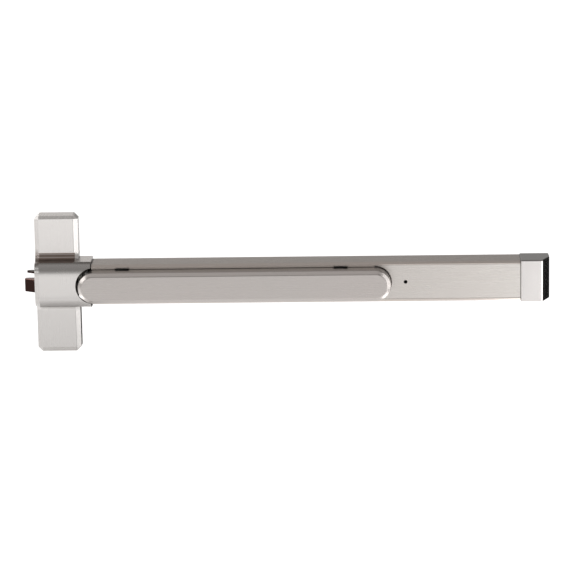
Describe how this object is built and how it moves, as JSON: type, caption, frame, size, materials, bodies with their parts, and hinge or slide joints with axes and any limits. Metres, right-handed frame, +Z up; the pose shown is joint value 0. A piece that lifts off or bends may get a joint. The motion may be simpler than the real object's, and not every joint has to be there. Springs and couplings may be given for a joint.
{
  "type": "rim exit device",
  "caption": "Panic bar for the face of a door: a push pad in a channel rail pulls back a sprung latch bolt under a head cover at one end.",
  "frame": {"origin": "On the door's face, where the rail's centre line crosses the middle of the head cover's width.", "axes": "+X along the rail from the latch to the end cap, +Y into the door, +Z up."},
  "size_m": [0.7621, 0.075, 0.2048],
  "materials": {
    "cover_steel": "satin cast stainless steel",
    "rail_steel": "satin stainless sheet, brushed along the rail",
    "pad_steel": "satin stainless sheet, brushed along the pad",
    "bolt_steel": "machined stainless steel",
    "plate_steel": "zinc-plated steel plate",
    "case_steel": "machined steel",
    "bracket_steel": "zinc-plated folded sheet",
    "crank_steel": "tumbled steel",
    "pin_steel": "ground steel pins",
    "spring_steel": "oiled spring wire",
    "screw_steel": "plated screws and rivets",
    "glide_nylon": "black moulded nylon"
  },
  "bodies": {
    "device": {"head_cover": "cover_steel", "end_cap": "cover_steel", "rail_channel": "rail_steel", "filler_plate": "rail_steel", "chassis_plate": "plate_steel", "end_bracket": "plate_steel", "latch_case": "case_steel", "latch_case_lid": "case_steel", "case_screws": "screw_steel", "rail_screws": "screw_steel", "bracket_rivets": "screw_steel", "end_cap_screw": "screw_steel", "cover_screw": "screw_steel", "latch_spring": "spring_steel", "deadlatch_spring": "spring_steel", "return_spring_left": "spring_steel", "return_spring_right": "spring_steel", "crank_bracket_left": "bracket_steel", "crank_bracket_right": "bracket_steel", "pivot_pin_left": "pin_steel", "pivot_pin_right": "pin_steel", "dogging_bracket": "bracket_steel"},
    "pad": {"push_pad": "pad_steel", "pad_glide_upper_left": "glide_nylon", "pad_glide_lower_left": "glide_nylon", "pad_glide_upper_right": "glide_nylon", "pad_glide_lower_right": "glide_nylon", "pad_bracket_left": "bracket_steel", "pad_bracket_right": "bracket_steel"},
    "latch": {"latch_bolt": "bolt_steel", "latch_rod": "pin_steel", "latch_clevis": "case_steel", "clevis_pin": "pin_steel"},
    "deadlatch": {"deadlatch_bolt": "bolt_steel"},
    "bar": {"tie_bar": "bracket_steel"},
    "crank_left": {"bell_crank_left": "crank_steel", "drive_pin_left": "pin_steel", "link_pin_left": "pin_steel"},
    "crank_right": {"bell_crank_right": "crank_steel", "drive_pin_right": "pin_steel", "link_pin_right": "pin_steel"},
    "dogging": {"dogging_screw": "case_steel", "dogging_hook": "crank_steel", "dogging_ring": "spring_steel"}
  },
  "joints": [
    {"name": "pad_press", "type": "slide", "parent": "device", "child": "pad", "axis": [0, 1, 0], "range_m": [0, 0.019], "stiffness_N_per_m": 700, "springref_m": -0.015},
    {"name": "bar_pull", "type": "slide", "parent": "device", "child": "bar", "axis": [1, 0, 0], "range_m": [0, 0.017]},
    {"name": "latch_retract", "type": "slide", "parent": "device", "child": "latch", "axis": [1, 0, 0], "range_m": [0, 0.017], "stiffness_N_per_m": 300, "springref_m": -0.01, "deforming": ["latch_spring"]},
    {"name": "crank_left_turn", "type": "hinge", "parent": "device", "child": "crank_left", "pos_m": [0.115, -0.029, 0], "axis": [0, 0, -1], "range_deg": [0, 60], "deforming": ["return_spring_left"]},
    {"name": "crank_right_turn", "type": "hinge", "parent": "device", "child": "crank_right", "pos_m": [0.43, -0.029, 0], "axis": [0, 0, -1], "range_deg": [0, 60], "deforming": ["return_spring_right"]},
    {"name": "deadlatch_retract", "type": "slide", "parent": "device", "child": "deadlatch", "axis": [1, 0, 0], "range_m": [0, 0.012], "stiffness_N_per_m": 120, "springref_m": -0.01, "deforming": ["deadlatch_spring"]},
    {"name": "dogging_turn", "type": "hinge", "parent": "device", "child": "dogging", "pos_m": [0.5056, 0, 0], "axis": [0, 1, 0], "range_deg": [0, 90]}
  ],
  "couplings": [
    {"joint": "bar_pull", "follows": "pad_press", "ratio": 0.8947},
    {"joint": "latch_retract", "follows": "pad_press", "ratio": 0.8947},
    {"joint": "crank_left_turn", "follows": "pad_press", "rad_per_m": 55.11},
    {"joint": "crank_right_turn", "follows": "pad_press", "rad_per_m": 55.11}
  ]
}
